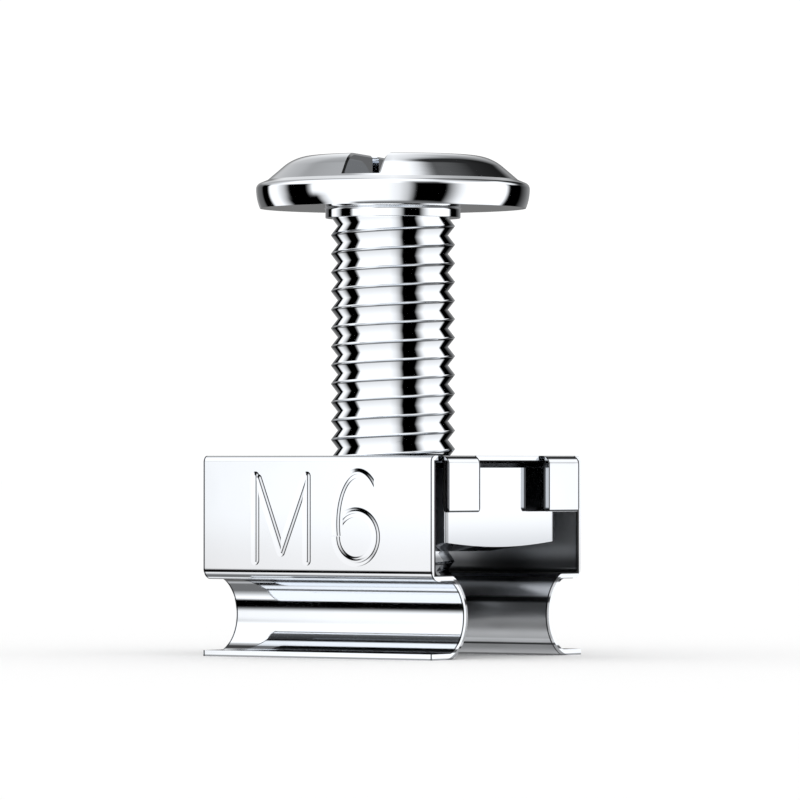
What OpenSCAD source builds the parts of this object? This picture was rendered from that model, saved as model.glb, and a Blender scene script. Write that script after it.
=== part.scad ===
// Caged rack nut with its screw, standing on the two lips of its cage.
// +Z runs up the screw's axis, +X along the cage's walls, and z = 0 is the underside of the lips.

/* [Sheet] */
// Thickness of the spring steel sheet
sheet_t = 0.28; // [0.22:0.02:0.36]

/* [Cage] */
// Length of the side walls, wings and lips
cage_l = 13.2; // [12.6:0.1:15]
// Width over the side walls and over the lips
cage_w = 12.5; // [12:0.1:14]
// Height from the underside of the lips to the top plate
cage_h = 9.5; // [9:0.1:11]
// Outer radius of the bend between the top plate and a wall
top_bend_r = 0.4; // [0.4:0.05:0.6]
// Outer radius of the bend between a wall and its step
step_bend_r = 0.55; // [0.4:0.05:0.8]
// Height of the underside of the steps above the lips' underside
step_z = 3.65; // [3.3:0.05:4]
// Outside width across the two wings at their narrowest
neck_w = 7.2; // [7:0.1:8]
// Radius of the hollow in each wing
wing_r = 1.84; // [1.8:0.02:2.2]
// Radius that eases the wing's hollow into the step and the lip
ease_r = 0.5; // [0.3:0.05:0.8]
// Radius of the screw's clearance hole in the top plate
plate_hole_r = 3.6; // [3.5:0.05:4]

/* [Retaining tabs] */
// Width of each tab
tab_w = 2.5; // [2:0.1:2.8]
// Gap between the two tabs at one end
tab_gap = 5.8; // [5:0.1:6]
// How far a tab hangs below the top plate's upper face
tab_drop = 2.65; // [1.5:0.05:3]
// How far a tab's outer face stands beyond the ends of the walls
tab_reach = 0.3; // [0.28:0.02:0.5]
// Outer radius of the bend at the head of a tab
tab_bend_r = 0.42; // [0.4:0.02:0.5]
// Radius of a tab's two lower corners
tab_corner_r = 0.22; // [0.1:0.02:0.4]
// Width of the relief notch on each side of a tab
notch_w = 0.26; // [0.2:0.02:0.3]
// Depth of the relief notches
notch_d = 0.4; // [0.3:0.05:0.5]

/* [Nut] */
// Length of the nut along the cage
nut_l = 12.4; // [11:0.1:12.4]
// Width of the nut across the cage
nut_w = 9.1; // [8.5:0.1:10]
// Height of the nut's underside
nut_z = 5; // [4.6:0.1:5.4]
// Thickness of the nut
nut_t = 4.15; // [3.5:0.05:4.2]
// Radius of the nut's upright corners
nut_corner_r = 0.45; // [0.2:0.05:1]
// Slope of the conical chamfer under the nut, in degrees
nut_cone_angle = 9; // [6:1:30]
// Radius where the conical chamfer meets the underside
nut_cone_r = 4.9; // [4.5:0.1:5.5]
// Chamfer round the nut's upper face
nut_chamfer = 0.22; // [0.1:0.02:0.4]
// Radius of the nut's bore, a running clearance round the shank
bore_r = 3.02; // [3.02:0.01:3.05]

/* [Screw] */
// Radius of the shank over the thread
shank_r = 2.97; // [2.95:0.01:2.99]
// Length of the screw under its head
screw_l = 20; // [18:1:25]
// Height of the head's underside
head_z = 21.28; // [20:0.02:24]
// Radius of the collar under the head
collar_r = 3.22; // [3.1:0.02:3.4]
// Length of the collar
collar_l = 0.47; // [0.3:0.01:0.8]
// Length of the chamfer at the screw's tip
tip_l = 0.55; // [0.4:0.05:0.8]

/* [Screw head] */
// Greatest radius of the head's rim
rim_r = 6.52; // [6:0.02:7]
// Height of that greatest radius above the head's underside
rim_z = 0.92; // [0.8:0.02:1]
// Radius of the curve below it
belly_r = 2.4; // [2:0.1:3]
// Radius of the curve above it
rim_edge_r = 0.3; // [0.2:0.02:0.3]
// Slope of the ledge on top of the rim, in degrees
ledge_angle = 22; // [15:1:30]
// Radius where the ledge meets the dome
dome_r = 5.98; // [5.8:0.02:6.1]
// Slope of the dome's flank, in degrees
dome_angle = 40.5; // [36:0.5:45]
// Radius of the dome's shoulder
shoulder_r = 2.2; // [1.8:0.1:2.4]
// Height of the head
head_h = 2.64; // [2.5:0.02:2.8]

/* [Driver recess] */
// Width of the straight slot
slot_w = 1.7; // [1.4:0.05:1.8]
// Depth of the straight slot
slot_d = 1.2; // [1:0.05:1.4]
// Direction of the slot, in degrees from +X
slot_turn = 108; // [0:1:180]
// Width of the cross recess's wings
cross_w = 1.15; // [0.9:0.05:1.4]
// Radius of the cross recess at the head's top
cross_top_r = 2.7; // [2.3:0.1:3]
// Radius of the cross recess at its bottom
cross_low_r = 0.85; // [0.7:0.05:1]
// Depth of the cross recess
cross_d = 1.95; // [1.6:0.05:2.1]

/* [Hidden] */
$fn = 96;
eps = 0.01;                                   // overlap where two shapes join
past = 1;                                     // how far a cutting shape runs past what it cuts

half_w = cage_w / 2;
half_l = cage_l / 2;
neck_y = neck_w / 2 + wing_r;                 // centre of a wing's hollow
neck_z = (step_z + sheet_t) / 2;
// The easing circle touches the wing's hollow from inside and the flat step or lip.
ease_rise = (step_z - sheet_t) / 2 - ease_r;
ease_y = neck_y - sqrt(pow(wing_r - ease_r, 2) - pow(ease_rise, 2));
ease_end = 180 - asin(ease_rise / (wing_r - ease_r));

tab_mid = (tab_gap + tab_w) / 2;              // centre line of each tab
tab_out = half_l + tab_reach;
tab_low = cage_h - tab_drop;

rim_top = head_z + rim_z;
head_top = head_z + head_h;
ledge_r = rim_r - rim_edge_r + rim_edge_r * sin(ledge_angle);
ledge_z = rim_top + rim_edge_r * cos(ledge_angle);
dome_z = ledge_z + (ledge_r - dome_r) * tan(ledge_angle);
shoulder_z = head_top - shoulder_r;
// The shoulder's circle touches the flank, which rises inwards from (dome_r, dome_z).
shoulder_x = dome_r - (shoulder_r - (dome_z - shoulder_z) * cos(dome_angle)) / sin(dome_angle);
tip_r = shank_r - tip_l;
nut_top = nut_z + nut_t;

// A strip of sheet bent round centre: radius is that of its hollow side, from and to are degrees.
module bend(centre, radius, from, to) {
    reach = 4 * (radius + sheet_t);
    mid = (from + to) / 2;
    translate(centre)
        intersection() {
            difference() {
                circle(radius + sheet_t);
                circle(radius);
            }
            polygon([[0, 0], for (a = [from, mid, to]) reach * [cos(a), sin(a)]]);
        }
}

// Right half of the cage's cross-section: Y to the right, Z up.
module half_section() {
    translate([0, cage_h - sheet_t])
        square([half_w - top_bend_r, sheet_t]);
    bend([half_w - top_bend_r, cage_h - top_bend_r], top_bend_r - sheet_t, 0, 90);
    translate([half_w - sheet_t, step_z + step_bend_r])
        square([sheet_t, cage_h - top_bend_r - step_z - step_bend_r]);
    bend([half_w - step_bend_r, step_z + step_bend_r], step_bend_r - sheet_t, 270, 360);
    translate([ease_y, step_z])
        square([half_w - step_bend_r - ease_y, sheet_t]);
    bend([ease_y, step_z - ease_r], ease_r, 90, ease_end);
    bend([neck_y, neck_z], wing_r, ease_end, 360 - ease_end);
    bend([ease_y, sheet_t + ease_r], ease_r, 360 - ease_end, 270);
    translate([ease_y, 0])
        square([half_w - ease_y, sheet_t]);
}

// Top plate, walls, steps, wings and lips: one strip folded along its whole length.
module folded_strip() {
    rotate([90, 0, 90])
        linear_extrude(cage_l, center = true)
            for (side = [0, 1])
                mirror([side, 0])
                    half_section();
}

// Blade of a tab, with its two lower corners rounded, hanging at the +X end.
module tab_blade() {
    translate([tab_out - sheet_t, tab_mid, 0])
        rotate([90, 0, 90])
            linear_extrude(sheet_t) {
                translate([-tab_w / 2, tab_low + tab_corner_r])
                    square([tab_w, tab_drop - tab_corner_r - tab_bend_r]);
                translate([tab_corner_r - tab_w / 2, tab_low])
                    square([tab_w - 2 * tab_corner_r, tab_corner_r + eps]);
                for (side = [-1, 1])
                    translate([side * (tab_w / 2 - tab_corner_r), tab_low + tab_corner_r])
                        circle(tab_corner_r);
            }
}

// Root and bend that carry a tab out of the top plate.
module tab_root() {
    root_from = half_l - notch_d;
    translate([0, tab_mid + tab_w / 2, 0])
        rotate([90, 0, 0])
            linear_extrude(tab_w) {
                translate([root_from, cage_h - sheet_t])
                    square([tab_out - tab_bend_r - root_from, sheet_t]);
                bend([tab_out - tab_bend_r, cage_h - tab_bend_r], tab_bend_r - sheet_t, 0, 90);
            }
}

// Relief notches cut into the plate's edge on both sides of a tab.
module relief_notches() {
    for (side = [-1, 1])
        translate([half_l, tab_mid + side * (tab_w + notch_w) / 2, cage_h - sheet_t - past])
            linear_extrude(sheet_t + 2 * past) {
                translate([notch_w / 2 - notch_d, -notch_w / 2])
                    square([notch_d, notch_w]);
                translate([notch_w / 2 - notch_d, 0])
                    circle(notch_w / 2);
            }
}

module at_each_tab() {
    for (x = [0, 1], y = [0, 1])
        mirror([x, 0, 0])
            mirror([0, y, 0])
                children();
}

// Cage: one piece of folded spring steel that holds the nut and clips into a rack rail.
module cage() {
    color("gainsboro") {
        difference() {
            folded_strip();
            at_each_tab() relief_notches();
            translate([0, 0, cage_h - sheet_t - past])
                cylinder(r = plate_hole_r, h = sheet_t + 2 * past);
        }
        at_each_tab() {
            tab_root();
            tab_blade();
        }
    }
}

module rounded_rectangle(size, radius) {
    square([size[0], size[1] - 2 * radius], center = true);
    square([size[0] - 2 * radius, size[1]], center = true);
    for (x = [-1, 1], y = [-1, 1])
        translate([x * (size[0] / 2 - radius), y * (size[1] / 2 - radius)])
            circle(radius);
}

// Side view of the nut's block, width wide, with its upper edges chamfered.
module chamfered_side(width) {
    polygon([
        [-width / 2, nut_z], [width / 2, nut_z],
        [width / 2, nut_top - nut_chamfer], [width / 2 - nut_chamfer, nut_top],
        [nut_chamfer - width / 2, nut_top], [-width / 2, nut_top - nut_chamfer]
    ]);
}

// Nut: a pressed steel block with a shallow cone turned on its underside.
module nut() {
    cone_rise = nut_t * 0.5;
    color("silver")
        difference() {
            intersection() {
                translate([0, 0, nut_z])
                    linear_extrude(nut_t)
                        rounded_rectangle([nut_l, nut_w], nut_corner_r);
                rotate([90, 0, 0])
                    linear_extrude(nut_w + past, center = true)
                        chamfered_side(nut_l);
                rotate([90, 0, 90])
                    linear_extrude(nut_l + past, center = true)
                        chamfered_side(nut_w);
                union() {
                    translate([0, 0, nut_z])
                        cylinder(r1 = nut_cone_r, r2 = nut_cone_r + cone_rise / tan(nut_cone_angle),
                                 h = cone_rise);
                    translate([0, 0, nut_z + cone_rise - eps])
                        cylinder(r = nut_l, h = nut_t);
                }
            }
            translate([0, 0, nut_z - past])
                cylinder(r = bore_r, h = nut_t + 2 * past);
        }
}

// Half outline of the head, turned about Z.
module head_outline() {
    flank_r = shoulder_x + shoulder_r * sin(dome_angle);
    flank_z = shoulder_z + shoulder_r * cos(dome_angle);
    intersection() {
        translate([rim_r - belly_r, rim_top])
            circle(belly_r);
        translate([0, head_z])
            square([rim_r, rim_z]);
    }
    translate([rim_r - rim_edge_r, rim_top])
        circle(rim_edge_r);
    translate([shoulder_x, shoulder_z])
        circle(shoulder_r);
    polygon([
        [0, head_z], [rim_r - belly_r, head_z], [rim_r - rim_edge_r, rim_top],
        [ledge_r, ledge_z], [dome_r, dome_z], [flank_r, flank_z],
        [shoulder_x, head_top], [0, head_top]
    ]);
}

// Straight slot and cross recess, sunk from the head's top.
module driver_recess() {
    translate([0, 0, head_top])
        rotate([0, 0, slot_turn]) {
            translate([-rim_r, -slot_w / 2, -slot_d])
                cube([2 * rim_r, slot_w, slot_d + past]);
            for (turn = [0, 90])
                rotate([0, 0, turn])
                    intersection() {
                        translate([-rim_r, -cross_w / 2, -cross_d])
                            cube([2 * rim_r, cross_w, cross_d + past]);
                        translate([0, 0, -cross_d])
                            cylinder(r1 = cross_low_r, r2 = cross_top_r, h = cross_d + eps);
                    }
        }
}

// Screw: rolled from one bar, with a collar under a domed and rimmed head.
module screw() {
    collar_z = head_z - collar_l;
    tip_z = head_z - screw_l;
    color("silver")
        difference() {
            union() {
                rotate_extrude()
                    intersection() {
                        head_outline();
                        translate([0, head_z])
                            square([rim_r + past, head_h]);
                    }
                translate([0, 0, collar_z])
                    cylinder(r = collar_r, h = collar_l + eps);
                translate([0, 0, tip_z + tip_l])
                    cylinder(r = shank_r, h = collar_z - tip_z - tip_l + eps);
                translate([0, 0, tip_z])
                    cylinder(r1 = tip_r, r2 = shank_r, h = tip_l);
            }
            driver_recess();
        }
}

cage();
nut();
screw();
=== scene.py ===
"""Caged rack nut with its screw: a folded spring steel cage, the square nut that floats in it, and the
slotted screw that runs down through both. Lengths are in metres; mm turns millimetres into them."""

import bpy
import numpy as np
from math import acos, asin, atan2, cos, degrees, hypot, pi, radians, sin, sqrt, tan
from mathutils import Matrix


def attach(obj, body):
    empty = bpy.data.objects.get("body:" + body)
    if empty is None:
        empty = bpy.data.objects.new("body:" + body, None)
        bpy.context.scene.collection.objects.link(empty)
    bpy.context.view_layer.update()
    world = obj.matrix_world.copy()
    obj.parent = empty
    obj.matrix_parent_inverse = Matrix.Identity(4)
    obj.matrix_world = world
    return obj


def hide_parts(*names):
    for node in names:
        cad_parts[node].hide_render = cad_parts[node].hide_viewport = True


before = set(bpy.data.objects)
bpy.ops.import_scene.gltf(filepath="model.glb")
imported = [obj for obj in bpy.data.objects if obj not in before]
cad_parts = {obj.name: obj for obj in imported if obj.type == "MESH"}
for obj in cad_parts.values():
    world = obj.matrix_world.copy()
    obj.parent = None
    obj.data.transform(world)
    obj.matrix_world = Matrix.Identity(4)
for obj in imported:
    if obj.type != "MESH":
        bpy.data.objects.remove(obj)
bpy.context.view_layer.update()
scene = bpy.context.scene
scene.view_settings.view_transform = "Standard"
mm = 0.001

# The camera, with a long lens, stands a third of a metre off one corner of the cage and looks level,
# a little below the screw's middle.
camera_turn = radians(35)
camera_back = np.array([sin(camera_turn), -cos(camera_turn), 0])
camera_right = np.array([cos(camera_turn), sin(camera_turn), 0])
camera_data = bpy.data.cameras.new("camera")
camera_data.lens = 302.3
camera_data.sensor_width = 36
camera_data.clip_start = 0.01
camera_data.clip_end = 50
camera = bpy.data.objects.new("camera", camera_data)
scene.collection.objects.link(camera)
camera.location = (camera_back * 320 + camera_right * 0.336 + np.array([0, 0, 9])) * mm
camera.rotation_euler = (radians(90 + 0.565), 0, camera_turn)
scene.camera = camera


class Wire:
    """An output socket. Sums, products and so on of wires and numbers add the Math nodes that work them
    out."""

    def __init__(self, tree, socket=None):
        self.tree = tree
        self.socket = socket

    def node(self, kind, settings, sockets, output=0):
        """Adds a node: its settings first, then the value or wire of each socket, and gives one output."""
        made = self.tree.nodes.new(kind)
        for name, value in settings.items():
            if name == "stops":
                ramp = made.color_ramp
                ramp.interpolation = "LINEAR"
                while len(ramp.elements) < len(value):
                    ramp.elements.new(0.5)
                for element, (place, grey) in zip(ramp.elements, value):
                    element.position = place
                    element.color = (grey, grey, grey, 1)
            else:
                setattr(made, name, value)
        for name, value in sockets.items():
            if isinstance(value, Wire):
                self.tree.links.new(value.socket, made.inputs[name])
            else:
                made.inputs[name].default_value = value
        return Wire(self.tree, made.outputs[output])

    def math(self, operation, *values):
        return self.node("ShaderNodeMath", {"operation": operation}, dict(enumerate(values)))

    def __add__(self, other):
        return self.math("ADD", self, other)

    def __sub__(self, other):
        return self.math("SUBTRACT", self, other)

    def __rsub__(self, other):
        return self.math("SUBTRACT", other, self)

    def __mul__(self, other):
        return self.math("MULTIPLY", self, other)

    def __truediv__(self, other):
        return self.math("DIVIDE", self, other)

    def __abs__(self):
        return self.math("ABSOLUTE", self)

    __radd__ = __add__
    __rmul__ = __mul__

    def step(self, low, high, to_low=0.0, to_high=1.0):
        """Runs smoothly from to_low, where the wire is at low, to to_high, where it is at high."""
        return self.node(
            "ShaderNodeMapRange", {"interpolation_type": "SMOOTHSTEP"},
            {"Value": self, "From Min": low, "From Max": high, "To Min": to_low, "To Max": to_high})

    def ramp(self, stops):
        """Looks the wire up in a table of (place, grey) stops and gives the grey as a number."""
        return self.node("ShaderNodeValToRGB", {"stops": stops}, {"Fac": self})

    def blend(self, low, high):
        """Mixes two numbers or wires: low where the wire is 0, high where it is 1."""
        return self.node("ShaderNodeMix", {"data_type": "FLOAT"}, {0: self, 2: low, 3: high})

    def tint(self, low, high):
        """Mixes two colours: low where the wire is 0, high where it is 1."""
        return self.node("ShaderNodeMix", {"data_type": "RGBA"}, {0: self, 6: low, 7: high}, 2)

    def feed(self, shader, socket):
        """Links the wire to one of a shader's sockets."""
        self.tree.links.new(self.socket, shader.inputs[socket])


def new_material(name, shader):
    """A material with one shader on its output: gives the material, its shader node and a first wire."""
    material = bpy.data.materials.new(name)
    material.use_nodes = True
    tree = material.node_tree
    tree.nodes.clear()
    output = tree.nodes.new("ShaderNodeOutputMaterial")
    surface = tree.nodes.new(shader)
    tree.links.new(surface.outputs[0], output.inputs[0])
    return material, surface, Wire(tree)


def place_on(wire):
    """The x, y and z of a point on the piece, as three wires."""
    place = wire.node("ShaderNodeTexCoord", {}, {}, 3)
    apart = wire.tree.nodes.new("ShaderNodeSeparateXYZ")
    wire.tree.links.new(place.socket, apart.inputs[0])
    return place, [Wire(wire.tree, out) for out in apart.outputs]


def show(name, points, faces, material):
    """Puts points and faces into a new mesh object at the origin."""
    mesh = bpy.data.meshes.new(name)
    mesh.from_pydata(points.tolist(), [], faces.tolist() if hasattr(faces, "tolist") else faces)
    mesh.update()
    made = bpy.data.objects.new(name, mesh)
    scene.collection.objects.link(made)
    mesh.materials.append(material)
    return made


# The floor: a pale sheet of paper under the lips, lit only by the even light of the room.
floor_material, floor_surface, wire = new_material("floor_paper", "ShaderNodeBsdfDiffuse")
place, (x, y, z) = place_on(wire)
fibre = wire.node("ShaderNodeTexNoise", {}, {"Vector": place, "Scale": 300.0, "Detail": 4.0})
paper = fibre.tint((0.945, 0.945, 0.945, 1), (0.955, 0.955, 0.955, 1))
paper.feed(floor_surface, "Color")
floor_half = 3.0
floor = show("floor", floor_half * np.array([[-1, -1, 0], [1, -1, 0], [1, 1, 0], [-1, 1, 0]]),
             [(0, 1, 2, 3)], floor_material)
floor.visible_glossy = False

# The room: even white light all round, a little stronger than 1 so that the paper comes out nearly white.
world = bpy.data.worlds.new("room")
world.use_nodes = True
scene.world = world
world.node_tree.nodes["Background"].inputs["Color"].default_value = (1, 1, 1, 1)
world.node_tree.nodes["Background"].inputs["Strength"].default_value = 1.06

# The light tent that the polished steel mirrors: a ball of white cloth with black strips hung in it.
# Only gloss sees it. Its greys are tabled by compass angle from the camera, in five bands of height, and
# blend from band to band over the heights, in degrees, that the steps below give.
black, white = (0, 0, 0, 1), (1, 1, 1, 1)
tent_down = [(-180, .8), (-158, .8), (-142, .15), (-106, .15), (-96, .45), (-86, 1), (-45, 1), (-35, .15),
             (142, .15), (155, .8), (180, .8)]
tent_under = [(-180, .15), (-160, .16), (-146, .10), (-142, 0), (-131, 0), (-127, .9), (-122, 1),
              (-115, .95), (-108, .5), (-101, 0), (-70, 0), (-64, .6), (-57, 1), (-6, 1), (5, .8),
              (13, .5), (20, 0), (46, 0), (52, .35), (60, .8), (66, 1), (111, 1), (117, 0), (136, 0),
              (165, .25), (180, .15)]
tent_low = [(-180, .15), (-167, .3), (-160, .16), (-146, .10), (-142, 0), (-131, 0), (-127, .9), (-122, 1),
            (-115, .95), (-105, .5), (-98, 0), (-78, 0), (-74, .45), (-71.5, .95), (-68, 1), (-6, 1),
            (5, .8), (13, .5), (20, 0), (46, 0), (52, .35), (60, .8), (66, 1), (111, 1), (117, 0),
            (136, 0), (146, .08), (165, .25), (180, .15)]
tent_mid = [(-180, .9), (-165, .5), (-145, .35), (-128, .6), (-112, 1), (-60, 1), (5, 1), (20, .15),
            (40, .1), (58, 1), (110, 1), (130, .9), (139, .1), (143, .02), (160, .01), (172, .4), (180, .9)]
tent_high = [(-180, .8), (-165, .4), (-148, .3), (-136, .38), (-127, 1), (-40, 1), (0, 1),
             (60, .8), (100, .4), (125, .2), (145, .02), (160, .02), (172, .6), (180, .8)]
tent_material, tent_surface, wire = new_material("tent_cloth", "ShaderNodeEmission")
place, (x, y, z) = place_on(wire)
ahead = x * float(camera_back[0]) + y * float(camera_back[1])
across = x * float(camera_right[0]) + y * float(camera_right[1])
compass = wire.math("ARCTAN2", across, ahead) / (2 * pi) + 0.5
height = wire.math("ARCSINE", z) * (180 / pi)
down, under, low, middle, high = [compass.ramp([((a + 180) / 360, grey) for a, grey in table]) for table
                                  in (tent_down, tent_under, tent_low, tent_mid, tent_high)]
tent_grey = height.step(12, 22).blend(low, middle)
tent_grey = height.step(38, 48).blend(tent_grey, high)
tent_grey = height.step(66, 78).blend(tent_grey, 1.0)
tent_grey = height.step(-20, -6).blend(under, tent_grey)
tent_grey = height.step(-38, -32).blend(down, tent_grey)
tent_grey = height.step(-64, -56).blend(0.9, tent_grey)
tent_grey.tint(black, white).feed(tent_surface, "Color")
tent_surface.inputs["Strength"].default_value = 1.18


def ball(radius, rows, columns):
    """A ball: latitude runs over the rows and longitude over the columns."""
    tilt = np.linspace(-pi / 2, pi / 2, rows)[:, None]
    turn = np.linspace(0, 2 * pi, columns)[None, :]
    return radius * np.stack([np.cos(tilt) * np.cos(turn), np.cos(tilt) * np.sin(turn),
                              np.sin(tilt) + 0 * turn], -1)


def grid_faces(rows, columns, start=0):
    """The four corners of each cell of a grid of points numbered row by row."""
    first = (np.arange(rows - 1)[:, None] * columns + np.arange(columns - 1)[None, :]).ravel() + start
    return np.stack([first, first + 1, first + columns + 1, first + columns], -1)


tent = show("light_tent", ball(1.0, 33, 65).reshape(-1, 3), grid_faces(33, 65), tent_material)
tent.visible_camera = False
tent.visible_diffuse = False
tent.visible_shadow = False
tent.visible_transmission = False
tent_material.cycles.emission_sampling = "NONE"


# The cage: one strip of spring steel, folded along its length into a plate, two walls, two steps, two
# hollow wings and two lips, with four tabs folded down from the plate's ends. It is nickel plated.
sheet_t = 0.28
cage_l, cage_w, cage_h = 13.2, 12.5, 9.5
top_bend_r, step_bend_r, step_z = 0.3, 0.55, 3.65
neck_w, wing_r, ease_r = 7.2, 1.84, 0.5
plate_hole_r = 3.6
tab_w, tab_gap, tab_drop, tab_reach, tab_bend_r, tab_corner_r = 2.62, 5.76, 2.65, 0.4, 0.42, 0.22
notch_w, notch_d = 0.26, 0.4

half_w, half_l = cage_w / 2, cage_l / 2
neck_y, neck_z = neck_w / 2 + wing_r, (step_z + sheet_t) / 2
ease_rise = (step_z - sheet_t) / 2 - ease_r
ease_y = neck_y - sqrt((wing_r - ease_r) ** 2 - ease_rise ** 2)
ease_turn = 90 - degrees(asin(ease_rise / (wing_r - ease_r)))
tab_mid, tab_out = (tab_gap + tab_w) / 2, half_l + tab_reach


def bent_path(along, start, heading, stretches):
    """Follows a path of straight and evenly curved stretches, each (length, turn in degrees). Within a
    stretch the heading grows evenly with the distance along it, and the place is the sum of that heading's
    cosines and sines. Gives the places, and the normals on the left of the path, at the distances along."""
    along = np.asarray(along, float)
    place = np.zeros(along.shape + (2,))
    normal = np.zeros(along.shape + (2,))
    at, angle, done = np.array(start, float), radians(heading), 0.0
    for number, (length, turn) in enumerate(stretches):
        last = number == len(stretches) - 1
        inside = (along >= done - 1e-9) if last else (along >= done - 1e-9) & (along < done + length)
        t = np.append(along[inside] - done, length)
        curve = radians(turn) / length
        now = angle + curve * t
        if abs(curve) < 1e-12:
            here = at + t[:, None] * np.array([cos(angle), sin(angle)])
        else:
            here = at + np.stack([np.sin(now) - sin(angle), cos(angle) - np.cos(now)], -1) / curve
        place[inside] = here[:-1]
        normal[inside] = np.stack([-np.sin(now), np.cos(now)], -1)[:-1]
        at, angle, done = here[-1], angle + radians(turn), done + length
    return place, normal


def parts(*stops):
    """Grid lines: from each stop (place, count) to the next, count equal parts."""
    lines = [np.linspace(a, b, n, endpoint=False) for (a, n), (b, _) in zip(stops, stops[1:])]
    return np.concatenate(lines + [[stops[-1][0]]])


def both_ways(lines):
    """The same lines on both sides of zero."""
    return np.concatenate([-lines[:0:-1], lines])


section = [(half_w - top_bend_r, 0), (top_bend_r * pi / 2, -90),
           (cage_h - top_bend_r - step_z - step_bend_r, 0), (step_bend_r * pi / 2, -90),
           (half_w - step_bend_r - ease_y, 0), (ease_r * radians(ease_turn), ease_turn),
           (wing_r * radians(180 - 2 * ease_turn), 180 - 2 * ease_turn),
           (ease_r * radians(ease_turn), ease_turn), (half_w - ease_y, 0)]
section_at = np.cumsum([0] + [length for length, turn in section])
tab_path = [(tab_out - tab_bend_r, 0), (tab_bend_r * pi / 2, -90), (tab_drop - tab_bend_r, 0)]
tab_at = np.cumsum([0] + [length for length, turn in tab_path])
tab_low, tab_high = tab_mid - tab_w / 2, tab_mid + tab_w / 2
hole_square = 4.2

v_lines = both_ways(parts(
    (0, 8), (tab_low - notch_w, 1), (tab_low, 4), (hole_square, 3), (tab_high, 1), (tab_high + notch_w, 1),
    (section_at[1], 14), (section_at[2], 4), (section_at[3], 16), (section_at[4], 2), (section_at[5], 10),
    (section_at[6], 56), (section_at[7], 10), (section_at[8], 3), (section_at[9], 0)))
corner_from = tab_at[3] - tab_corner_r
corner_lines = corner_from + tab_corner_r * np.sin(np.linspace(0, pi / 2, 7))[1:]
u_lines = both_ways(np.concatenate([parts(
    (0, 12), (hole_square, 4), (half_l - notch_d, 1), (tab_at[1], 1), (half_l, 8), (tab_at[2], 3),
    (corner_from, 0)), corner_lines]))


def blank(u_lines, v_lines):
    """The flat blank: a grid of lines with cells left out at the notches and beside the tabs, and in the
    middle a square patch whose cells run straight from the hole's circle to the square's edge."""
    u, v = np.meshgrid(u_lines, v_lines, indexing="ij")
    rows, columns = u.shape
    faces = grid_faces(rows, columns)[:, ::-1]
    middle = np.stack([u.ravel(), v.ravel()], -1)[faces].mean(1)
    mu, mv = np.abs(middle[:, 0]), np.abs(middle[:, 1])
    in_tab = (mv > tab_low) & (mv < tab_high)
    in_notch = (mu > half_l - notch_d) & ~in_tab & (mv > tab_low - notch_w) & (mv < tab_high + notch_w)
    keep = ((mu < half_l) | in_tab) & ~in_notch & ~((mu < hole_square) & (mv < hole_square))
    faces = faces[keep]
    corners = np.stack([u.ravel(), v.ravel()], -1)
    s = u_lines[np.abs(u_lines) < hole_square + 1e-6]
    t = v_lines[np.abs(v_lines) < hole_square + 1e-6]
    edge = np.concatenate([
        np.stack([s[:-1], 0 * s[:-1] - hole_square], -1),
        np.stack([0 * t[:-1] + hole_square, t[:-1]], -1),
        np.stack([s[:0:-1], 0 * s[:0:-1] + hole_square], -1),
        np.stack([0 * t[:0:-1] - hole_square, t[:0:-1]], -1)])
    edge = np.vstack([edge, edge[:1]])
    rim = edge * (plate_hole_r / np.hypot(edge[:, 0], edge[:, 1]))[:, None]
    share = np.array([0, 0.1, 0.55, 1])[:, None, None]
    ring = rim * (1 - share) + edge * share
    ring_faces = grid_faces(4, len(edge), len(corners))[:, ::-1]
    points = np.vstack([corners, ring.reshape(-1, 2)])
    return points, np.vstack([faces, ring_faces])


def merged(points, faces):
    """Joins points that share a place, and drops points that no face uses."""
    _, first, back = np.unique(np.round(points, 6), axis=0, return_index=True, return_inverse=True)
    faces = back.reshape(-1)[faces]
    used = np.unique(faces)
    renumber = np.zeros(len(first), int)
    renumber[used] = np.arange(len(used))
    return points[first[used]], renumber[faces]


def folded(points):
    """Folds the blank. Across the strip a point goes along the section's path; along the strip it keeps its
    place, but on a tab it goes along the tab's path, and the tab's end narrows by its corners' circles."""
    u, v = points.T
    on_tab = (np.abs(v) > tab_low - 1e-6) & (np.abs(v) < tab_high + 1e-6) & (np.abs(u) > tab_at[1])
    into = np.clip((np.abs(u) - corner_from) / tab_corner_r, 0, 1)
    less = tab_corner_r * (1 - np.sqrt(1 - into ** 2))
    v = np.where(on_tab, np.sign(v) * (tab_mid + (np.abs(v) - tab_mid) * (1 - less * 2 / tab_w)), v)
    across, _ = bent_path(np.abs(v), (0, cage_h), 0, section)
    along, _ = bent_path(np.abs(u), (0, 0), 0, tab_path)
    x = np.where(on_tab, np.sign(u) * along[:, 0], u)
    z = across[:, 1] + np.where(on_tab, along[:, 1], 0)
    return np.stack([x, np.sign(v) * across[:, 0], z], -1)


def steel(name):
    """Bare metal, whose tone, gloss and bumps are fed in after: gives the material, its shader node, a
    first wire, and the place, x, y and z of a point on the piece."""
    material, surface, wire = new_material(name, "ShaderNodeBsdfPrincipled")
    surface.inputs["Metallic"].default_value = 1.0
    return material, surface, wire, place_on(wire)


bright_plate = (0.885, 0.915, 0.955, 1)
cage_steel, surface, wire, (place, (x, y, z)) = steel("spring_steel_plate")


def stroke(ax, az, bx, bz):
    """Distance in millimetres from a straight stroke's middle line: the nearest point is the share of the
    way from one end to the other, held between 0 and 1."""
    dx, dz = bx - ax, bz - az
    share = ((X - ax) * dx + (Z - az) * dz) * (1 / (dx * dx + dz * dz))
    share = wire.math("MINIMUM", wire.math("MAXIMUM", share, 0.0), 1.0)
    p, q = X - ax - share * dx, Z - az - share * dz
    return wire.math("SQRT", p * p + q * q)


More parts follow.
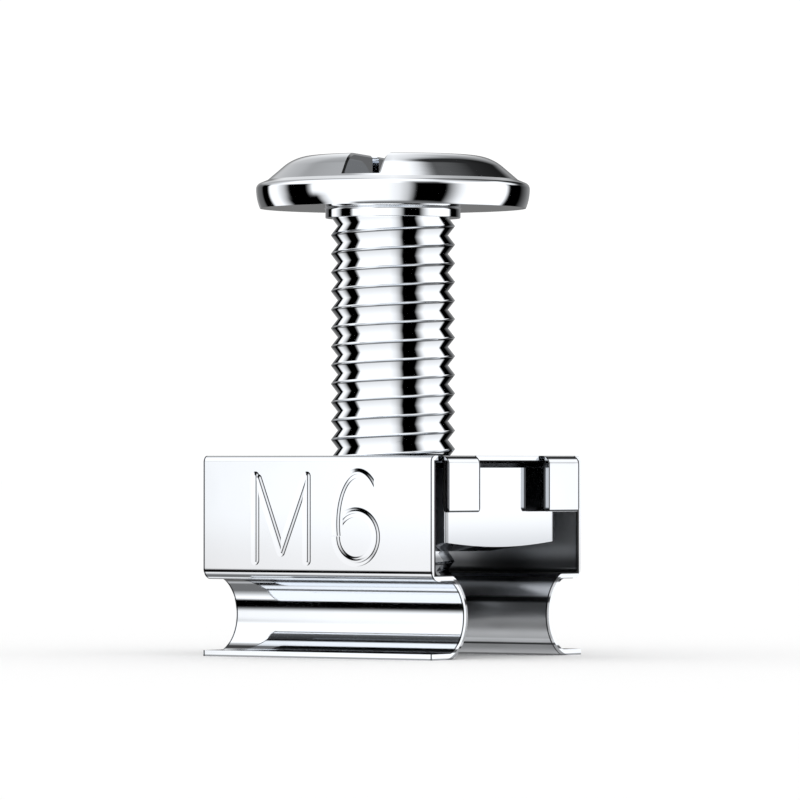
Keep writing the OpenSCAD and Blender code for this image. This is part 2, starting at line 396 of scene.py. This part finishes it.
def oval(cx, cz, rx, rz):
    """Distance in millimetres from an oval's line, near it: how far the scaled radius is from 1, over how
    fast it grows."""
    p, q = X - cx, Z - cz
    scaled = wire.math("SQRT", p * p * (1 / rx ** 2) + q * q * (1 / rz ** 2))
    slope = wire.math("SQRT", p * p * (1 / rx ** 4) + q * q * (1 / rz ** 4))
    return abs(scaled * (scaled - 1) / slope)


# The same place in millimetres, with Y on both sides alike. The masks are 1 inside the wings and inside the
# walls: hollow is the distance from the middle line of a wing.
X, Y, Z = x * 1000, abs(y) * 1000, z * 1000
hollow = wire.math("SQRT", (Y - neck_y) * (Y - neck_y) + (Z - neck_z) * (Z - neck_z))
in_wing = hollow.step(wing_r + 0.12, wing_r + 0.16) * Z.step(step_z + 0.1, step_z + 0.05) * Y.step(5.35, 5.3)
in_walls = Z.step(3.85, 3.9) * Z.step(9.3, 9.26) * Y.step(6.1, 6.06) * abs(X).step(6.85, 6.8)
inside = wire.math("MAXIMUM", in_wing, in_walls)
# Inside, painted shade darkens the walls, most of all under the plate and in the corner of the steps, and
# painted reflections lay bright and dark bands along the wings.
wing_reflection_bands = (Z / 4).ramp([(.07, .5), (.125, .5), (.132, .05), (.145, .05), (.16, .9), (.195, .9), (.21, .6),
                          (.62, .7), (.645, .06), (.69, .06), (.72, 1), (.86, 1), (.885, .15), (1, .15)])
wall_shade = Z.step(4.3, 5.2, 0.2, 1.0) * Z.step(9.1, 9.2, 1.0, 0.07) * abs(X).step(6.4, 6.6, 1.0, 0.1)
shade = in_walls.blend(wing_reflection_bands, wall_shade)
shaded = shade.tint(black, (0.78, 0.8, 0.83, 1))
# Outside, a painted reflection makes the walls' tone fall off towards their lower bend, painted reflection
# lines darken the wings beside each bend, and painted shade makes the plate's top greyer.
painted_wall_fade = (Z.step(3.9, 3.95) * Z.step(7.4, 4.2)).tint(bright_plate, (0.77, 0.78, 0.80, 1))
outer_reflection_lines = (Z / 4).ramp([(.076, 1), (.086, .1), (.115, .1), (.13, 1), (.865, 1), (.885, .05), (.912, .02),
                            (.925, 1)])
wing_side = (1 - inside) * Y.step(5.6, 5.5) * Z.step(3.72, 3.7)
outer_painted_light = (1 - wing_side * (1 - outer_reflection_lines)) * Z.step(9.44, 9.48, 1.0, 0.75)
plating_and_painted_light = inside.tint(outer_painted_light.tint(black, painted_wall_fade), shaded)


def line_at(wire, place, reach):
    """1 on a narrow line where the wire is at a place, 0 further than its reach."""
    return abs(wire - place).step(reach, reach * 0.6)


# A painted shade line runs beside each cut edge: the sheet's ends, the tabs' sides and feet, the lips.
at_cut = line_at(abs(X), half_l - 0.05, 0.045) * wire.math("MAXIMUM", Z.step(9.1, 9.05), Y.step(5.75, 5.8))
tab_sides = line_at(Y, tab_low + 0.05, 0.06) + line_at(Y, tab_high - 0.05, 0.06)
tab_foot = line_at(Z, cage_h - tab_drop + 0.05, 0.05)
on_tab = abs(X).step(half_l + 0.1, half_l + 0.2)
at_lip = line_at(Z, 0.03, 0.06) * 0.7
edge_shade_lines = wire.math("MINIMUM", at_cut + (tab_sides + tab_foot) * on_tab + at_lip, 1.0)
edge_shade_lines.tint(plating_and_painted_light, (0.06, 0.063, 0.068, 1)).feed(surface, "Base Color")
# The outside is bright and the inside is dull, and both drift in soft clouds.
cloudy = wire.node("ShaderNodeTexNoise", {}, {"Vector": place, "Scale": 400.0, "Detail": 3.0})
gloss, dullness = cloudy.step(0.3, 0.7, 0.05, 0.08), cloudy.step(0.3, 0.7, 0.3, 0.36)
inside.blend(gloss, dullness).feed(surface, "Roughness")
# The thread size, M6, is stamped in the near wall: four strokes, then a bowl and the crook above it.
marks = [stroke(-3.56, 4.57, -3.56, 8.53), stroke(-3.40, 8.40, -2.06, 4.98),
         stroke(-2.06, 4.98, -0.60, 8.50), stroke(-0.57, 8.53, -0.57, 4.57)]
bowl = oval(2.26, 5.70, 1.145, 1.155) + (X.step(1.52, 1.50) * Z.step(5.72, 5.74)) * 9
crook = oval(2.377, 6.30, 1.262, 2.383) + X.step(3.30, 3.32) * 9 + Z.step(5.75, 5.73) * 9
marks += [bowl, crook]
near = marks[0]
for mark in marks[1:]:
    near = wire.math("MINIMUM", near, mark)
on_wall = y.step(-0.00615, -0.00620)
groove = near.step(0.03, 0.25) * on_wall + (1 - on_wall)
bump = wire.node("ShaderNodeBump", {}, {"Strength": 1.0, "Distance": 0.00006, "Height": groove})
bump.feed(surface, "Normal")

points, faces = merged(*blank(u_lines, v_lines))
cage = show("cage_sheet", folded(points) * mm, faces, cage_steel)
cage.data.polygons.foreach_set("use_smooth", np.ones(len(faces), bool))
wall = cage.modifiers.new("sheet", "SOLIDIFY")
wall.thickness = sheet_t * mm
wall.offset = -1
edge = cage.modifiers.new("edges", "BEVEL")
edge.width = 0.08 * mm
edge.segments = 3
edge.limit_method = "ANGLE"
edge.angle_limit = radians(40)
edge.harden_normals = True
even = cage.modifiers.new("normals", "WEIGHTED_NORMAL")
even.weight = 80
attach(cage, "cage")
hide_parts("cage")


# The nut: a square block pressed from bar, with rounded corners, a chamfer round its top and a shallow
# cone turned on its underside, tapped through its middle. It lies loose under the cage's plate.
nut_l, nut_w, nut_z, nut_t = 12.4, 9.1, 5.0, 4.15
nut_corner_r, nut_cone_angle, nut_cone_r, nut_chamfer = 0.15, 9, 4.9, 0.22
pitch, crest_r, root_r = 0.885, 2.96, 2.62
nut_top = nut_z + nut_t


def assembled(name, patches, material):
    """One closed mesh from patches, each a grid of points and of normals. Points that share a place are
    joined, a cell with two joined corners becomes a triangle, and each corner keeps its patch's normal."""
    points, normals, faces, start = [], [], [], 0
    for grid, normal in patches:
        rows, columns = grid.shape[:2]
        points.append(grid.reshape(-1, 3))
        normals.append(normal.reshape(-1, 3))
        faces.append(grid_faces(rows, columns, start))
        start += rows * columns
    points, normals, faces = np.vstack(points), np.vstack(normals), np.vstack(faces)
    across = np.cross(points[faces[:, 2]] - points[faces[:, 0]], points[faces[:, 3]] - points[faces[:, 1]])
    inward = (across * normals[faces].sum(1)).sum(1) < 0
    faces[inward] = faces[inward][:, ::-1]
    _, first, back = np.unique(np.round(points, 6), axis=0, return_index=True, return_inverse=True)
    joined = back.reshape(-1)[faces]
    follow = np.roll(joined, -1, 1)
    same = joined == follow
    whole = ~same.any(1)
    thin = []
    for gone in range(4):
        kept = [c for c in range(4) if c != gone]
        some = same[:, gone] & (same.sum(1) == 1)
        thin.append((joined[some][:, kept], normals[faces[some]][:, kept]))
    lists = joined[whole].tolist() + [f for part, _ in thin for f in part.tolist()]
    loops = np.vstack([normals[faces[whole]].reshape(-1, 3)] + [n.reshape(-1, 3) for _, n in thin])
    made = show(name, points[first] * mm, lists, material)
    made.data.polygons.foreach_set("use_smooth", np.ones(len(lists), bool))
    made.data.normals_split_custom_set((loops / np.linalg.norm(loops, axis=1)[:, None]).tolist())
    return made


def turned(path, normal, turns):
    """A path of (radius, height) points turned about Z through the given angles."""
    c, s = np.cos(turns)[None, :], np.sin(turns)[None, :]
    r, z = path[:, :1], path[:, 1:]
    nr, nz = normal[:, :1], normal[:, 1:]
    return (np.stack([r * c, r * s, z + 0 * c], -1), np.stack([nr * c, nr * s, nz + 0 * c], -1))


def thread(low, high, root, crest, columns, outward, clear=0.0, ends=None):
    """A right-handed thread: each point sits at an angle and at a share s of the pitch above the ridge that
    starts there, so its height is the angle's share of the pitch plus s. Its radius falls evenly from the
    crest to the root at mid-groove. The polish rounds the flanks' normals off, so they lean only a little,
    and lean fully close to the crest. Heights are held between low and high."""
    turns = int(np.ceil((high - low) / pitch)) + 1
    start = np.floor(low / pitch) * pitch - pitch
    angle = np.linspace(0, 2 * pi * (turns + 1), columns * (turns + 1) + 1)[None, :]
    half = np.array([0, 0.02, 0.045, 0.07, 0.1, 0.15, 0.22, 0.3, 0.4, 0.5])
    s = np.concatenate([half, 1 - half[-2::-1]])[:, None]
    way = np.abs(2 * s - 1)
    depth = crest - root
    radius = root + depth * way + clear
    lean = 0.08 + 0.92 * np.clip((way - 0.84) / 0.1, 0, 1)
    slope = depth * 2 / pitch * np.sign(2 * s - 1) * lean
    height = start + (angle / (2 * pi) + s) * pitch
    held = np.clip(height, low, high)
    if ends is not None:
        radius = np.minimum(radius + 0 * held, ends(held))
    radius = radius + 0 * angle
    c, d = np.cos(angle), np.sin(angle)
    grid = np.stack([radius * c, radius * d, held], -1)
    spin = slope * pitch / (2 * pi) / radius
    normal = np.stack([c - spin * d, d + spin * c, -slope + 0 * c], -1) * outward
    return grid, normal


def block_ring(length, width, radius, inset, height, per_corner, per_side):
    """One ring round the block: each corner is a quarter circle about its own centre, less the inset, and
    the sides between them are divided evenly."""
    quarter = np.linspace(0, pi / 2, per_corner)
    rings, outs = [], []
    for number in range(4):
        angle = quarter + number * pi / 2
        centre = np.array([length / 2 - radius, width / 2 - radius]) * [
            (1, 1), (-1, 1), (-1, -1), (1, -1)][number]
        out = np.stack([np.cos(angle), np.sin(angle)], -1)
        rings.append(centre + out * (radius - inset))
        outs.append(out)
    ring, out = [], []
    for number in range(4):
        a, b = rings[number][-1], rings[(number + 1) % 4][0]
        share = np.linspace(0, 1, per_side)[1:-1, None]
        ring += [rings[number], a + (b - a) * share]
        out += [outs[number], outs[number][-1:] + 0 * share]
    ring, out = np.vstack(ring + [rings[0][:1]]), np.vstack(out + [outs[0][:1]])
    return np.column_stack([ring, np.full(len(ring), height)]), out


def polished(place, gloss):
    """Roughness of bright plating: it drifts in soft clouds, with a faint grain in the polish."""
    cloud = place.node("ShaderNodeTexNoise", {}, {"Vector": place, "Scale": 260.0, "Detail": 3.0})
    speck = place.node("ShaderNodeTexNoise", {}, {"Vector": place, "Scale": 5200.0, "Detail": 2.0})
    return cloud.step(0.3, 0.7, gloss, gloss * 1.5) + speck * 0.02


# Painted shade makes the tone fall off towards the underside, and a painted shade line darkens the end faces
# beside the upright corners.
nut_steel, surface, wire, (place, (x, y, z)) = steel("nut_steel_plate")
X, Y, Z = abs(x) * 1000, abs(y) * 1000, z * 1000
corner_shade_line = line_at(Y, nut_w / 2 - 0.16, 0.05) * X.step(nut_l * 0.49, nut_l * 0.495)
underside_shade = Z.step(6.9, 4.9).tint((0.86, 0.885, 0.92, 1), (0.60, 0.62, 0.65, 1))
(corner_shade_line * 0.7).tint(underside_shade, (0.08, 0.083, 0.088, 1)).feed(surface, "Base Color")
polished(place, 0.015).feed(surface, "Roughness")
pressed = wire.node("ShaderNodeTexNoise", {}, {"Vector": place, "Scale": 900.0, "Detail": 4.0})
bump = wire.node("ShaderNodeBump", {}, {"Strength": 0.1, "Distance": 0.000005, "Height": pressed})
bump.feed(surface, "Normal")

outer, out = block_ring(nut_l, nut_w, nut_corner_r, 0, 0, 9, 24)
inner, _ = block_ring(nut_l, nut_w, nut_corner_r, nut_chamfer, nut_top, 9, 24)
bearing = np.arctan2(outer[:, 1], outer[:, 0])
ring_r = np.hypot(outer[:, 0], outer[:, 1])
flat = np.column_stack([out, 0 * ring_r])
up = np.array([0, 0, 1.0])
mouth_r, bore_r = crest_r + 0.16, root_r + 0.07


def circle(radius, height):
    """The nut's ring of bearings, at one radius and height."""
    return np.column_stack([radius * np.cos(bearing), radius * np.sin(bearing), height + 0 * bearing])


def between(first, last, shares):
    """Rings between two rings, at shares of the way."""
    share = np.array(shares)[:, None, None]
    return first * (1 - share) + last * share


def coned(grid):
    """Lifts the underside's points to the cone outside its inner circle."""
    r = np.hypot(grid[..., 0], grid[..., 1])
    lifted = grid.copy()
    lifted[..., 2] = nut_z + np.maximum(r - nut_cone_r, 0) * tan(radians(nut_cone_angle))
    return lifted


lower = coned(outer)
top_edge = outer + up * (nut_top - nut_chamfer)
kink = circle(1, nut_z) * [1, 1, 0] * np.minimum(nut_cone_r, ring_r - 0.03)[:, None] + up * nut_z
bottom_in = coned(between(circle(mouth_r, nut_z), kink, np.linspace(0, 1, 5)))
bottom_out = coned(between(kink, outer, np.linspace(0, 1, 7)))
cone_r = np.hypot(bottom_out[..., 0], bottom_out[..., 1])[..., None]
cone_tilt = tan(radians(nut_cone_angle)) * (cone_r > nut_cone_r - 1e-6)
cone_normal = np.concatenate([bottom_out[..., :2] / cone_r * cone_tilt, -1 + 0 * cone_r], -1)
top_in = between(circle(mouth_r, nut_top), inner, np.linspace(0, 1, 6))
# In turn: the sides, the chamfer round the top, the top, the underside's flat middle and cone, and the
# countersinks at the bore's two ends. The thread comes last.
nut_patches = [
    (between(lower, top_edge, np.linspace(0, 1, 7)), np.broadcast_to(flat, (7,) + flat.shape)),
    (between(top_edge, inner, [0, 1]), np.broadcast_to(flat + up, (2,) + flat.shape)),
    (top_in[::-1], np.broadcast_to(up, top_in.shape)),
    (bottom_in, np.broadcast_to(-up, bottom_in.shape)),
    (bottom_out, cone_normal),
    (between(circle(mouth_r, nut_top), circle(bore_r, nut_top - 0.45), [0, 1]),
     np.broadcast_to(up - circle(1, 0), (2,) + flat.shape)),
    (between(circle(bore_r, nut_z + 0.45), circle(mouth_r, nut_z), [0, 1]),
     np.broadcast_to(-up - circle(1, 0), (2,) + flat.shape)),
]
grid, normal = thread(nut_z + 0.05, nut_top - 0.05, root_r, crest_r, 96, -1, clear=0.06)
nut_patches.append((grid[::-1], normal[::-1]))
nut = assembled("nut_block", nut_patches, nut_steel)
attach(nut, "nut")
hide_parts("nut")


# The screw: rolled from one steel bar, bright plated, with a slotted, rimmed pan head, a collar under it
# and a rolled thread down to its chamfered tip.
screw_l, head_z, collar_r, collar_l, tip_l = 20, 21.28, 3.22, 0.47, 0.55
rim_r, rim_z, belly_r, rim_edge_r, ledge_angle = 6.52, 0.92, 2.4, 0.3, 22
dome_r, dome_angle, shoulder_r, head_h = 5.98, 40.5, 2.2, 2.5
slot_w, slot_d, slot_turn, slot_chamfer = 1.7, 1.06, 110, 0.1
cross_w, cross_top_r, cross_low_r, cross_d = 1.15, 2.7, 0.85, 1.85
rim_top, head_top = head_z + rim_z, head_z + head_h
ledge_r = rim_r - rim_edge_r + rim_edge_r * sin(radians(ledge_angle))
ledge_z = rim_top + rim_edge_r * cos(radians(ledge_angle))
dome_z = ledge_z + (ledge_r - dome_r) * tan(radians(ledge_angle))
shoulder_z = head_top - shoulder_r
dome_tilt = radians(dome_angle)
dome_cos, dome_sin, dome_tan = cos(dome_tilt), sin(dome_tilt), tan(dome_tilt)
shoulder_x = dome_r - (shoulder_r - (dome_z - shoulder_z) * dome_cos) / dome_sin
flank_r = shoulder_x + shoulder_r * dome_sin
flank_z = shoulder_z + shoulder_r * dome_cos

# Painted shade makes each groove a little duller under the ridge above it, with a painted dark line at the
# ridge's foot. Painted shade darkens the end of the shank under the nut, and makes the head's flat top greyer
# than its flank.
screw_steel, surface, wire, (place, (x, y, z)) = steel("screw_steel_plate")
Z = z * 1000
up_groove = wire.math("FRACT", Z / pitch - wire.math("ARCTAN2", y, x) / (2 * pi))
groove_shade = up_groove.ramp([(0, 1), (.45, 1), (.88, .72), (.905, .2), (.95, .2), (.97, .95), (1, 1)])
threaded = Z.step(head_z - collar_l, head_z - collar_l - 0.05)
shank_end_and_top_shade = Z.step(4.6, 5.0, 0.25, 1.0) * Z.step(head_top - 0.02, head_top - 0.01, 1.0, 0.75)
(shank_end_and_top_shade * threaded.blend(1.0, groove_shade)).tint(black, bright_plate).feed(surface, "Base Color")
polished(place, 0.02).feed(surface, "Roughness")
drawn = wire.node("ShaderNodeMapping", {}, {"Vector": place, "Scale": (1, 1, 14)})
lines = wire.node("ShaderNodeTexNoise", {}, {"Vector": drawn, "Scale": 900.0, "Detail": 2.0})
bump = wire.node("ShaderNodeBump", {}, {"Strength": 0.12, "Distance": 0.000004, "Height": lines})
bump.feed(surface, "Normal")

dome_path = [(shoulder_x, 0), (shoulder_r * radians(dome_angle), -dome_angle),
             (hypot(dome_r - flank_r, flank_z - dome_z), 0)]
dome_at = np.cumsum([0] + [length for length, turn in dome_path])
slot_floor = head_top - slot_d
slot_h = slot_w / 2
lobe_h = slot_h + slot_chamfer
slot_mouth_r = dome_r - (slot_floor - dome_z) / dome_tan
mouth_at = dome_at[3] - hypot(dome_r - slot_mouth_r, slot_floor - dome_z)


def head_profile(radius):
    """Height of the dome over a radius: flat, then the shoulder's circle, then the flank's straight slope."""
    over = np.maximum(radius, shoulder_x) - shoulder_x
    bend = shoulder_z + np.sqrt(np.maximum(shoulder_r ** 2 - over ** 2, 0))
    return np.where(radius < flank_r, bend, flank_z - (radius - flank_r) * dome_tan)


def dome_normal(radius):
    """Slope of the dome over a radius, as (outward, upward) parts of its normal."""
    tilt = np.arcsin(np.clip((radius - shoulder_x) / shoulder_r, 0, dome_sin))
    return np.sin(tilt), np.cos(tilt)


def swing(grid, normal, turn):
    """Turns points and normals about Z."""
    c, s = cos(turn), sin(turn)
    spin = np.array([[c, s, 0], [-s, c, 0], [0, 0, 1]])
    return grid @ spin, normal @ spin


# The head's two lobes, one on each side of the slot, each a grid of radius over bearing. Its columns fall on
# the corners of the cross recess too.
arm = cross_w / 2
lobe_r = np.concatenate([shoulder_x + shoulder_r * np.sin(np.linspace(0, radians(dome_angle), 25))[:-1],
                         np.linspace(flank_r, slot_mouth_r, 8)])
open_angle = np.arcsin(lobe_h / lobe_r)[:, None]
corner_turns = [atan2(lobe_h, arm), acos(arm / cross_top_r)]
corner_turns = np.array(corner_turns + [pi - turn for turn in corner_turns])
first_open = open_angle[0, 0]
share = np.concatenate([np.linspace(0, 1, 97), (corner_turns - first_open) / (pi - 2 * first_open)])
share = np.unique(np.round(share, 9))
columns = len(share)
turn = open_angle + (pi - 2 * open_angle) * share[None, :]
radius = lobe_r[:, None]
nr, nz = dome_normal(radius)
lobe = np.stack([radius * np.cos(turn), radius * np.sin(turn), head_profile(radius) + 0 * turn], -1)
lobe_normal = np.stack([nr * np.cos(turn), nr * np.sin(turn), nz + 0 * turn], -1)


def reach_in(turn):
    """Where the flat top ends inwards, along a bearing: at the slot's chamfer or, if that is further out, at
    the wing of the cross recess, whose sides are straight and whose end is a circle."""
    wing = np.minimum(cross_top_r, arm / np.maximum(np.abs(np.cos(turn)), 1e-9))
    return np.maximum(lobe_h / np.sin(turn), wing)


first_turn = turn[0]
inner = reach_in(first_turn)
step_in = np.linspace(0, 1, 5)[:, None]
flat_r = inner * (1 - step_in) + shoulder_x * step_in
flat_top = np.stack([flat_r * np.cos(first_turn), flat_r * np.sin(first_turn), 0 * flat_r + head_top], -1)
beside = first_turn <= corner_turns[0] + 1e-9
ridge_p = np.concatenate([(inner * np.cos(first_turn))[beside][::-1],
                          np.sqrt(lobe_r ** 2 - lobe_h ** 2)[1:]])
ridge_z = np.concatenate([np.full(beside.sum(), head_top), head_profile(lobe_r)[1:]])
drop = np.minimum(slot_chamfer, ridge_z - slot_floor)
ridge = np.stack([ridge_p, 0 * ridge_p + lobe_h, ridge_z], -1)
brink = np.stack([ridge_p, lobe_h - drop, ridge_z - drop], -1)
foot = np.stack([ridge_p, lobe_h - drop, 0 * ridge_p + slot_floor], -1)
across_slot = np.array([0, 1.0, 0])


def flat_patch(rows, normal):
    """A patch of straight cells between rows of points, with one normal."""
    rows = np.stack(rows)
    return rows, np.broadcast_to(np.asarray(normal, float), rows.shape)


def cross_r(height):
    """Radius of the cross recess's cone at a height."""
    return cross_low_r + (cross_top_r - cross_low_r) * (height - head_top + cross_d) / cross_d


# Each half of the head is built once and turned to its side. First the lobe with the slot's chamfer and
# wall, and the cross recess's wing that cuts into the lobe.
pit_r = cross_r(slot_floor)
low_z = head_top - cross_d
leaning = (cross_top_r - cross_low_r) / cross_d
sweep = np.linspace(-1, 1, 9)
head_patches = []
for side in (0, pi):
    half = [(lobe, lobe_normal), flat_patch(flat_top, up)]
    for mirror in (1, -1):
        flip = np.array([mirror, 1, 1])
        half += [flat_patch([brink * flip, ridge * flip], up - across_slot),
                 flat_patch([foot * flip, brink * flip], -across_slot)]
        heights = np.concatenate([np.linspace(slot_floor, head_top - slot_chamfer, 6), [head_top]])
        near_q = slot_h + np.maximum(heights - head_top + slot_chamfer, 0)
        far_q = np.sqrt(cross_r(heights) ** 2 - arm ** 2)
        half += [flat_patch([np.stack([0 * q + arm * mirror, q, heights], -1) for q in (near_q, far_q)],
                            [-mirror, 0, 0])]
    heights = np.concatenate([[low_z], heights])
    tilt = np.arcsin(arm / cross_r(heights))[:, None] * sweep
    cone = cross_r(heights)[:, None] + 0 * tilt
    half += [(np.stack([cone * np.sin(tilt), cone * np.cos(tilt), heights[:, None] + 0 * tilt], -1),
              np.stack([-np.sin(tilt), -np.cos(tilt), leaning + 0 * tilt], -1))]
    head_patches += [swing(grid, normal, side) for grid, normal in half]
    # Then the wing that runs along the slot, below its floor, and the floor itself.
    tilt = np.arcsin(arm / np.array([cross_low_r, pit_r]))[:, None] * sweep
    cone = np.array([[cross_low_r], [pit_r]]) + 0 * tilt
    pit = [(np.stack([cone * np.cos(tilt), cone * np.sin(tilt),
                      np.array([[low_z], [slot_floor]]) + 0 * tilt], -1),
            np.stack([-np.cos(tilt), -np.sin(tilt), leaning + 0 * tilt], -1))]
    for mirror in (1, -1):
        far = np.sqrt(np.array([cross_low_r, pit_r]) ** 2 - arm ** 2)
        pair = [np.array([[arm, arm * mirror, z], [far[n], arm * mirror, z]]) for n, z in
                enumerate((low_z, slot_floor))]
        pit += [flat_patch(pair, [0, -mirror, 0])]
        pair = [np.array([[arm * mirror, arm, z], [arm * mirror, q, z]]) for q, z in
                ((far[0], low_z), (slot_h, slot_floor))]
        pit += [flat_patch(pair, [-mirror, 0, 0])]
        pit += [flat_patch([[[arm, q * mirror, slot_floor], [far[1], q * mirror, slot_floor]]
                            for q in (arm, slot_h)], up)]
    arc_q = arm * sweep
    bed_q = np.concatenate([[-slot_h], arc_q, [slot_h]])
    bed_p = np.concatenate([[far[1]], np.sqrt(pit_r ** 2 - arc_q ** 2), [far[1]]])
    mouth_q = bed_q * lobe_h / slot_h
    mouth_p = np.sqrt(slot_mouth_r ** 2 - mouth_q ** 2)
    pit += [flat_patch([np.stack([bed_p, bed_q, 0 * bed_q + slot_floor], -1),
                        np.stack([mouth_p, mouth_q, 0 * bed_q + slot_floor], -1)], up)]
    ends = cross_low_r * np.stack([np.cos(tilt[0]), np.sin(tilt[0])], -1)
    pit += [flat_patch([np.column_stack([0 * ends[:, 0], ends[:, 1], low_z + 0 * ends[:, 0]]),
                        np.column_stack([ends, low_z + 0 * ends[:, 0]])], up)]
    ends = np.array([[-arm, arm], [arm, arm], [-arm, sqrt(cross_low_r ** 2 - arm ** 2)],
                     [arm, sqrt(cross_low_r ** 2 - arm ** 2)]])
    ends = np.column_stack([ends, low_z + 0 * ends[:, 0]])
    pit += [flat_patch([ends[:2], ends[2:]], up)]
    head_patches += [swing(grid, normal, side) for grid, normal in pit]
mouth_turns = float(np.arcsin(lobe_h / slot_mouth_r))
arc = np.arcsin(mouth_q / slot_mouth_r)
lobe_turns = mouth_turns + (pi - 2 * mouth_turns) * share
all_turns = np.concatenate([lobe_turns, pi + arc[1:-1], pi + lobe_turns, 2 * pi + arc[1:]])

rim_path = [(rim_edge_r * radians(90 - ledge_angle), -(90 - ledge_angle)),
            (belly_r * asin(rim_z / belly_r), -degrees(asin(rim_z / belly_r)))]
flank_rows, flank_normals = bent_path(np.linspace(mouth_at, dome_at[3], 3), (0, head_top), 0, dome_path)
ledge_rows = np.linspace([dome_r, dome_z], [ledge_r, ledge_z], 3)
ledge_normals = np.broadcast_to([sin(radians(ledge_angle)), cos(radians(ledge_angle))], (3, 2))
rim_lines = parts((0, 10), (rim_path[0][0], 20), (rim_path[0][0] + rim_path[1][0], 0))
rim_rows, rim_normals = bent_path(rim_lines, (ledge_r, ledge_z), -ledge_angle, rim_path)
fillet_r, collar_edge_r = 0.12, 0.04
under_path = [(rim_rows[-1, 0] - collar_r - fillet_r, 0), (fillet_r * pi / 2, 90),
              (collar_l - fillet_r - collar_edge_r, 0), (collar_edge_r * pi / 2, -90),
              (collar_r - collar_edge_r - root_r + 0.1, 0)]
under_at = np.cumsum([0] + [length for length, turn in under_path])
under_lines = parts((0, 6), (under_at[1], 10), (under_at[2], 3), (under_at[3], 4), (under_at[4], 3),
                    (under_at[5], 0))
under_rows, under_normals = bent_path(under_lines, (rim_rows[-1, 0], head_z), 180, under_path)
for rows, normals in ((flank_rows, flank_normals), (ledge_rows, ledge_normals),
                      (rim_rows, rim_normals), (under_rows, under_normals)):
    head_patches.append(turned(rows, normals, all_turns))
patches = [swing(grid, normal, radians(slot_turn)) for grid, normal in head_patches]

tip_z = head_z - screw_l
tip_r = crest_r - tip_l
patches.append(thread(
    tip_z, head_z - collar_l + 0.02, root_r, crest_r, 96, 1,
    ends=lambda height: tip_r + (height - tip_z)))
tip_turns = np.linspace(0, 2 * pi, 97)
tip_rows = np.array([[tip_r, tip_z], [tip_r * 0.5, tip_z], [0, tip_z]])
patches.append(turned(tip_rows, np.broadcast_to([0.0, -1.0], (3, 2)), tip_turns))
screw = assembled("screw_body", patches, screw_steel)
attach(screw, "screw")
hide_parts("screw")
